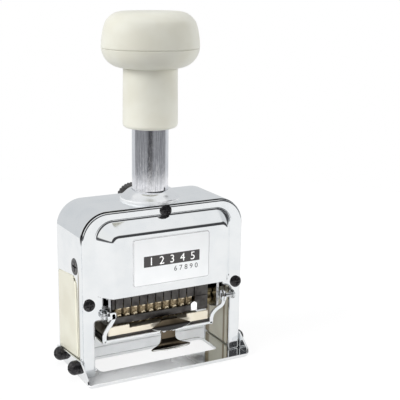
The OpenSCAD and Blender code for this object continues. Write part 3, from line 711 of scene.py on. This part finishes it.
def press_profile(foot, rise, run, soft):
    """Steps (inset, rise) of a pressed wall: hollow foot, slope, rounded shoulder."""
    line = rounded([(-2, 0, 0), (foot, 0, foot), (foot + run, rise, soft), (foot + run + 9, rise, 0)], 7)
    return [(p.x, p.y) for p in line[1:-1]]


def plate_outline():
    """Outline of the front and the rear plate."""
    return arch(ARCH_HALF_W, ARCH_FOOT, ARCH_TOP, ARCH_R)


def make_front_plate():
    """Arched sheet, open from the foot up under the cover, with a lug for each pivot pin."""
    bm = bmesh.new()
    notch = arc(26.2, 26.4, 3.1, range(0, 101, 10))
    right = [(MOUTH_HALF_W, ARCH_FOOT), (MOUTH_HALF_W, 26.4), *notch, (THROAT_HALF_W, 29.44),
             (THROAT_HALF_W, COVER_FOOT)]
    left = [(-THROAT_HALF_W, COVER_FOOT), (-THROAT_HALF_W, 23.3), (-MOUTH_HALF_W, 23.3),
            (-MOUTH_HALF_W, ARCH_FOOT)]
    mouth = [*right, *arch(27.0, COVER_FOOT, 59.7, 5.5, 8)[::-1], *left]
    slab(bm, [*plate_outline(), *mouth], upright, HOUSING_FRONT, SHEET)
    pin_y, pin_z = PAD_PIVOT[1:]
    root, tip = HOUSING_FRONT + 0.2, pin_y - 1.7
    low, high = pin_z - 1.7, pin_z + 1.7
    for x in (-26.6, 28.9):
        lug = rounded([(root, low, 0), (tip, low, 1.69), (tip, high, 1.69), (root, high, 0)], 10)
        slab(bm, lug, sideways, x, 1.0)
    piece("front_plate_sheet", bm, "housing", housing_plating, ["front_plate"], edge=0.7, segments=4)


def make_front_cover():
    """Deep pressed cover over the upper part of the front plate, open at its foot."""
    bm = bmesh.new()
    pressed(bm, arch(MOUTH_HALF_W, 22, 61.7, 7.5, 14), upright, HOUSING_FRONT - STAND_OFF,
            [(inset, -rise) for inset, rise in press_profile(0.9, 5.35, 4.1, 1.7)])
    bmesh.ops.bisect_plane(bm, geom=whole(bm), plane_co=(0, 0, COVER_FOOT), plane_no=(0, 0, -1),
                           clear_outer=True)
    bmesh.ops.recalc_face_normals(bm, faces=bm.faces)
    bmesh.ops.solidify(bm, geom=bm.faces, thickness=1.0)
    piece("front_cover_pressing", bm, "housing", housing_plating, edge=0.15, angle=60)


def make_rear_plate():
    """Arched sheet with a shallow pressed panel."""
    bm = bmesh.new()
    slab(bm, plate_outline(), upright, HOUSING_REAR - SHEET, SHEET)
    pressed(bm, rectangle((-26.4, 26.4, 7.6, 47.4), 5.4, 10), upright, HOUSING_REAR + STAND_OFF,
            press_profile(0.7, 2.98, 2.2, 1.4))
    piece("rear_plate_pressing", bm, "housing", housing_plating, ["rear_plate"],
          edge=0.42, segments=3, angle=60)


def make_guide_bush():
    """Flanged bush: a shank through the top of the housing and a bell around the tube."""
    bm = bmesh.new()
    bell = smooth_line([(11.45, 65.6), (10.2, 66.7), (9.2, 67.65), (8.2, 68.25), (7.4, 68.5)], 5)
    turned(bm, [(7.0, 61.9), (8.2, 61.9), (8.2, 64.65), (11.6, 64.65), (11.6, 65.35),
                *((p.x, p.y) for p in bell), (7.0, 68.45), (7.0, 61.9)], steps=128)
    piece("guide_bush_turned", bm, "housing", bush_plating, ["guide_bush"], crease=50)


make_front_plate()
make_front_cover()
make_rear_plate()
dress("housing_shell", "housing", housing_plating, 0.5, 4)
dress("base_plate", "housing", mirror, 0.2, 3)
for side in ("left", "right"):
    dress("side_panel_" + side, "housing", panel_ivory, 0.7, 4)
for place in ("front", "rear", "side", "base"):
    dress(place + "_screws", "housing", black_oxide, 0.08)
dress("cross_bar", "housing", steel, 0.1)
dress("pad_pivot_pins", "housing", steel, 0.12)
make_guide_bush()


# ---- label and dial ----

def label_edges(inset):
    """The label's edges drawn in by the same width all round."""
    left, right, low, high = LABEL_EDGES
    return (left + inset, right - inset, low + inset, high - inset)


def label_layer(name, finish, edges, radius, start, thick, nodes=(), edge=0.0):
    """A thin sheet of the label between four edges, from one depth forwards."""
    bm = bmesh.new()
    slab(bm, rectangle(edges, radius, 5), upright, start, -thick)
    piece(name, bm, "housing", finish, nodes, edge)


def label_digits(name, finish, text, spacing, height, middle):
    """A row of evenly spaced plain numerals on the label, centred on (x, z)."""
    row = bmesh.new()
    for i, mark in enumerate(text):
        bm = numerals(mark, height, 2 * PRINT)
        across = middle[0] + (i - (len(text) - 1) / 2) * spacing
        set_down(bm, about("X", 90), (across, LABEL_FACE - 4 * PRINT, middle[1]))
        join(row, bm)
    piece(name, row, "housing", finish)


def make_name_plate():
    """Lacquered label with a fine grey border, a dark band of numerals and a small second row."""
    label_layer("label_sheet", label_lacquer, LABEL_EDGES, 1.1, LABEL_FACE + LABEL_SHEET, LABEL_SHEET,
                ["name_plate"], 0.06)
    label_layer("label_border", border_grey, label_edges(0.15), 1.0, LABEL_FACE, PRINT)
    label_layer("label_field", label_lacquer, label_edges(0.4), 0.8, LABEL_FACE - PRINT, PRINT)
    label_layer("label_band", print_black, (-11.65, 11.65, 43.5, 47.7), 0.1, LABEL_FACE - 2 * PRINT, PRINT)
    label_digits("label_numerals", label_white, "12345", 4.33, 3.1, (0.1, 45.6))
    label_digits("label_small_numerals", print_black, "67890", 2.2, 2.0, (5.9, 41.6))


def make_dial_numerals():
    """A ring of painted numerals on the dial, which faces the rear."""
    x, y, z = DIAL_PIVOT
    marks = bmesh.new()
    for i, mark in enumerate(("0", "1", "2", "3", "4", "5", "6", "12")):
        bm = numerals(mark, 1.3, 0.04)
        bmesh.ops.translate(bm, verts=bm.verts, vec=(0, DIAL_RING_R, 0))
        bmesh.ops.rotate(bm, verts=bm.verts, cent=(0, 0, 0), matrix=about("Z", 20 + 40 * i))
        set_down(bm, about("Z", 180) @ about("X", -90), (x, y + DIAL_FACE, z))
        join(marks, bm)
    piece("dial_numerals", marks, "repeat_dial", dial_white)


make_name_plate()
dress("repeat_dial", "repeat_dial", dark_steel, 0.12)
make_dial_numerals()
dress("dial_screw", "housing", steel, 0.08)
dress("dial_pointer", "housing", brass, 0.06)


# ---- plunger and handle ----

def make_handle():
    """Three turned mouldings: the neck on the tube, the knob's flared base and its domed cap."""
    bm = bmesh.new()
    turned(bm, rounded([(6.95, 98, 0), (6.95, 92.2, 0.4), (10.45, 92.2, 1.6), (10.2, 114.5, 0),
                        (5, 114.5, 0), (5, 106.5, 0), (3, 106.5, 0), (3, 98, 0), (6.95, 98, 0)], 8),
           steps=128)
    piece("handle_neck_turned", bm, "plunger", ivory, ["handle_neck"])
    bm = bmesh.new()
    bowl = arc(10.4, 122.4, 7.9, range(-90, -5, 5))
    turned(bm, [(0, 107), (4.9, 107), (4.9, 114.5), *bowl, (18.28, 121.5), (18.15, 121.68), (14, 121.68),
                (14, 119.7), (0, 119.7)], steps=128)
    piece("knob_base_turned", bm, "plunger", ivory, ["knob_base"])
    bm = bmesh.new()
    crown = smooth_line([(18.28, 121.95), (18.3, 122.6), (18.1, 125), (17.6, 128.2), (16.75, 131),
                         (15.7, 132.45), (14.4, 133.6), (12.8, 134.45), (10.6, 134.9), (6, 135),
                         (0, 135)], 5)
    turned(bm, [(0, 132.5), (10.5, 132.4), (14.4, 130), (15.4, 126), (15.5, 121.75), (18.1, 121.75),
                *((p.x, p.y) for p in crown)], steps=128)
    piece("knob_cap_turned", bm, "plunger", ivory, ["knob_cap"])


def make_return_spring():
    """The coil stands on the cross bar; here it is the CAD's coil with a mesh of its own, riding with the
    plunger.
    """
    spring = piece("return_spring_coiled", cad_copy("return_spring"), "plunger", spring_steel,
                   ["return_spring"])
    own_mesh(spring)


make_handle()
piece("plunger_tube_drawn", cad_copy("plunger_tube"), "plunger", tube_steel, ["plunger_tube"])
dress("carriage_frame", "plunger", steel, 0.12)
dress("wheel_axle", "plunger", steel, 0.15)
dress("axle_nuts", "plunger", steel, 0.12)
dress("tie_rod", "plunger", steel, 0.1)
dress("front_guard", "plunger", dark_steel, 0.08)
dress("index_marker", "plunger", white_mark, 0.08)
dress("detent_comb", "plunger", dark_steel, 0.06)
dress("comb_screws", "plunger", steel, 0.05)
frame["nodes"]["spring_seat"].data.materials[0] = steel.material
make_return_spring()


# ---- type wheels and feed ----

def type_wheel():
    """The wheel at the left end of the row: a stepped brass body and ten raised numerals."""
    bm = bmesh.new()
    turned(bm, rounded([(2.05, 0.75, 0), (6.0, 0.75, 0.2), (6.4, 0.9, 0.2), (CORE_R, 0.9, 0.15),
                        (CORE_R, 3.25, 0.15), (6.4, 3.25, 0.2), (6.0, 3.3, 0), (2.05, 3.3, 0),
                        (2.05, 0.75, 0)], 3),
           AXLE + Vector((WHEELS_LEFT, 0, 0)), (1, 0, 0), 80)
    for i in range(10):
        digit = numerals(str(i), TYPE_HEIGHT, TYPE_RISE)
        for cut in (-1.4, -0.7, 0, 0.7, 1.4):
            bmesh.ops.bisect_plane(digit, geom=whole(digit), plane_co=(0, cut, 0), plane_no=(0, 1, 0))
        for v in digit.verts:
            turn = radians(36 * i) + v.co.y / TYPE_WRAP_R
            reach = CORE_R + TYPE_RISE / 2 + v.co.z
            across = WHEELS_LEFT + TYPE_MIDDLE - v.co.x * TYPE_NARROWING
            v.co = AXLE + Vector((across, -sin(turn) * reach, -cos(turn) * reach))
        join(bm, digit)
    return bm


def make_wheels():
    """Ten wheels in a row, each on a body of its own."""
    first = type_wheel()
    for index in range(10):
        bm = first.copy()
        bmesh.ops.translate(bm, verts=bm.verts, vec=(index * WHEEL_PITCH, 0, 0))
        name = f"wheel_{index + 1:02d}"
        piece("type_" + name, bm, name, type_brass, ["number_" + name], crease=40)
    first.free()


make_wheels()
dress("feed_yoke", "feed", steel, 0.12)
dress("feed_pawl", "feed", dark_steel, 0.05)
dress("repeat_ratchet", "repeat_wheel", brass, 0.08)
dress("repeat_cam", "repeat_wheel", brass, 0.08)


# ---- ink pad ----

def make_pad_holder():
    """Bent sheet: a floor folded up in front, two curved arms, an ear on the left arm, a tongue
    behind the pull tab, and a collar around each pivot pin."""
    bm = bmesh.new()
    fold = rounded([(PAD_FRONT, 15.2, 0.3), (-13.15, 14.4, 1.5), (5.0, 14.4, 0.25), (5.0, 15.0, 0),
                    (-13.15, 15.0, 1.0), (PAD_FRONT + PAD_SHEET, 15.8, 0.2),
                    (PAD_FRONT + PAD_SHEET, 16.3, 0), (PAD_FRONT, 16.3, 0.2)], 4)
    slab(bm, fold, sideways, -26.4, 46.2)
    left_arm = band([(-26.2, 15.9), (-26.1, 18.4), (-25.1, 20.4), (-23.3, 22.8), (-22.4, 24.5),
                     (-22.5, 25.6)], 0.8)
    right_arm = band([(19.3, 15.8), (19.35, 17.8), (20.1, 19.6), (21.7, 21.0), (23.9, 22.2),
                      (24.6, 23.6), (24.5, 25.2)], 0.8)
    ear = rectangle((-25.3, -21.4, 24.0, 26.9), 0.8, 4)
    tongue = rectangle((-3.3, 3.3, 16.0, 17.3), 0.3, 4)
    for outline in (left_arm, right_arm, ear, tongue):
        slab(bm, outline, upright, PAD_FRONT, PAD_SHEET)
    collar = rounded([(0.95, 0, 0), (2.4, 0, 0.2), (2.4, 1, 0.2), (0.95, 1, 0), (0.95, 0, 0)], 3)
    for x in (-25.3, 24.3):
        turned(bm, collar, (x, *PAD_PIVOT[1:]), (1, 0, 0), 48)
    piece("pad_holder_bent", bm, "ink_pad", chrome, ["pad_holder"], edge=0.16, angle=50)


def make_pull_tab():
    """Bent sheet: a narrow neck whose ends curl forward into wide leaf-shaped lips."""
    half_sheet = 0.33
    line = smooth_line([(-19.45, 17.3, 0.8), (-19.3, 17.6, 4.2), (-18.95, 18.3, 7.3), (-18.55, 18.95, 8.2),
                        (-18.0, 19.6, 6.6), (-17.2, 20.4, 4.2), (-16.5, 20.75, 3.3), (-16.1, 20.1, 3.1),
                        (-16.1, 17.5, 3.0), (-16.1, 14.5, 3.0), (-16.2, 13.0, 3.1), (-16.6, 11.9, 3.6),
                        (-17.3, 11.0, 5.2), (-18.0, 10.45, 7.4), (-18.6, 10.1, 8.3), (-19.0, 9.85, 7.2),
                        (-19.3, 9.7, 4.4), (-19.5, 9.6, 0.8)], 4)
    bm = bmesh.new()
    rings = []
    for i, (y, z, half_w) in enumerate(line):
        run = run_at(line, i).xy.normalized() * half_sheet
        rings.append([bm.verts.new((half_w * k / 8, y - side * run.y, z + side * run.x))
                      for side, across in ((1, range(-8, 9)), (-1, range(8, -9, -1))) for k in across])
    for ring, after in zip(rings, rings[1:]):
        for i in range(len(ring)):
            bm.faces.new((ring[i - 1], ring[i], after[i], after[i - 1]))
    bm.faces.new(rings[0])
    bm.faces.new(rings[-1][::-1])
    piece("pull_tab_bent", bm, "ink_pad", tab_plating, ["pull_tab"], edge=0.12, angle=60)


def make_felt_pad():
    """A block of felt as large as the CAD's, with faces fine enough to give."""
    bm = bmesh.new()
    low, high = node_box("ink_felt")
    bmesh.ops.create_cube(bm, size=1)
    bmesh.ops.scale(bm, vec=high - low, verts=bm.verts)
    bmesh.ops.translate(bm, verts=bm.verts, vec=(low + high) / 2)
    bmesh.ops.subdivide_edges(bm, edges=bm.edges, cuts=24, use_grid_fill=True)
    pad = piece("ink_felt_pad", bm, "ink_pad", felt, ["ink_felt"], edge=0.2)


make_pad_holder()
make_pull_tab()
dress("ink_tray", "ink_pad", tray_black, 0.12)
dress("pad_lip", "ink_pad", cream, 0.12)
dress("tab_rivets", "ink_pad", steel, 0.08)
make_felt_pad()


# ---- studio, in metres ----

TABLE_R = 0.33

# the level direction towards the viewer, and what metal mirrors of the room
VIEWER_SIDE = (-0.43, -0.9)
PALE_ROOM = (0.86, 0.865, 0.87, 1)
GREY_WALL = (0.66, 0.675, 0.69, 1)
DIM_FLOOR = (0.27, 0.275, 0.285, 1)
DARK_VIEWER = (0.08, 0.08, 0.085, 1)
DARK_FRONT = (0.055, 0.055, 0.058, 1)
PALE_LEFT = (0.88, 0.88, 0.87, 1)
WHITE = (1, 1, 1, 1)


def make_table():
    """Pale round table top. It stays white to the eye and keeps the shadow."""
    bm = bmesh.new()
    bmesh.ops.create_circle(bm, cap_ends=True, radius=TABLE_R, segments=128)
    mesh = bpy.data.meshes.new("table_top")
    bm.to_mesh(mesh)
    bm.free()
    table = link("table_top", mesh)
    paper = Finish("table_paper", "", Roughness=0.9, Specular_IOR_Level=0.0)
    paper.set(Base_Color=paper.mix(paper.noise(3, 2), (0.62, 0.62, 0.62, 1), (0.60, 0.60, 0.60, 1)))
    seen = paper.node("ShaderNodeLightPath", out="Is Camera Ray")
    mirrored = paper.node("ShaderNodeLightPath", out="Is Glossy Ray")
    glow = paper.node("ShaderNodeEmission", values={"Strength": 1.2})
    lit = Wire(paper, paper.shader.outputs[0])
    mixed = paper.node("ShaderNodeMixShader", values={0: 0.7 * seen + 0.45 * mirrored, 1: lit, 2: glow})
    paper.put(paper.tree.nodes["Material Output"].inputs["Surface"], mixed)
    mesh.materials.append(paper.material)


def make_world():
    """A studio that is white to the eye, and to metal a pale room with a grey wall at the back.

    Its viewer's side is dim below the horizon and nearly black above it, darker around the camera,
    and pale at the upper left.
    """
    world = bpy.data.worlds.new("studio")
    bpy.context.scene.world = world
    world.use_nodes = True
    bench = Bench(world.node_tree)
    bench.tree.nodes.clear()
    x, y, z = bench.split(bench.node("ShaderNodeTexCoord", out="Generated"))
    walls = z.within(-0.32, -0.22, 0.68, 0.86)
    level = (x * x + y * y + 0.0001) ** 0.5
    towards_viewer = (VIEWER_SIDE[0] * x + VIEWER_SIDE[1] * y) / level
    front = towards_viewer.between(-0.5, -0.3)
    left = (0 - x).between(0.0, 0.25) * z.between(0.0, 0.15) * y.between(-0.65, -0.5)
    gloom = bench.mix(towards_viewer.between(0.93, 0.99), DIM_FLOOR, DARK_VIEWER)
    gloom = bench.mix(z.between(-0.2, 0.0), gloom, DARK_FRONT)
    gloom = bench.mix(left, gloom, PALE_LEFT)
    room = bench.mix(walls * front, PALE_ROOM, gloom)
    room = bench.mix(walls * (1 - front), room, GREY_WALL)
    seen = bench.node("ShaderNodeLightPath", out="Is Camera Ray")
    through = bench.node("ShaderNodeLightPath", out="Is Transmission Ray")
    colour = bench.mix(seen.math("MAXIMUM", seen, through), room, WHITE)
    back = bench.node("ShaderNodeBackground", values={"Color": colour})
    bench.put(bench.tree.nodes.new("ShaderNodeOutputWorld").inputs["Surface"], back)


def make_lamp(name, place, aim, size, watts, spread=180):
    """A soft round lamp that lights without a mirrored image of itself."""
    lamp = bpy.data.lights.new(name, "AREA")
    lamp.shape = "DISK"
    lamp.size = size
    lamp.energy = watts
    lamp.spread = radians(spread)
    obj = link(name, lamp)
    obj.location = place
    obj.rotation_euler = (Vector(aim) - Vector(place)).to_track_quat("-Z", "Y").to_euler()
    obj.visible_glossy = False


def make_camera():
    """A long lens at the front left, a little above the knob."""
    view = bpy.data.cameras.new("camera")
    view.sensor_width = 36
    view.lens = 79.37
    view.shift_x = 0.1165
    view.shift_y = 0.0172
    view.clip_start = 0.01
    place = Vector((-0.144692, -0.296394, 0.145878))
    ahead = Vector((0.42828104, 0.86862283, -0.24913796))
    up = Vector((0.10721534, 0.22491066, 0.96846273))
    turn = Matrix((ahead.cross(up), up, -ahead)).transposed()
    camera = link("camera", view)
    camera.matrix_world = Matrix.Translation(place) @ turn.to_4x4()
    bpy.context.scene.camera = camera


make_table()
make_world()
make_lamp("key_lamp", place=(-0.85, -0.05, 0.6), aim=(0, 0, 0.07), size=0.5, watts=5.6)
make_lamp("right_lamp", place=(0.72, -0.45, 0.36), aim=(0, 0, 0.08), size=0.5, watts=3.7)
make_lamp("fill_lamp", place=(-0.2, -0.5, 0.04), aim=(0, 0, 0.018), size=0.06, watts=0.031, spread=20)
make_camera()
bpy.context.scene.view_settings.view_transform = "Standard"
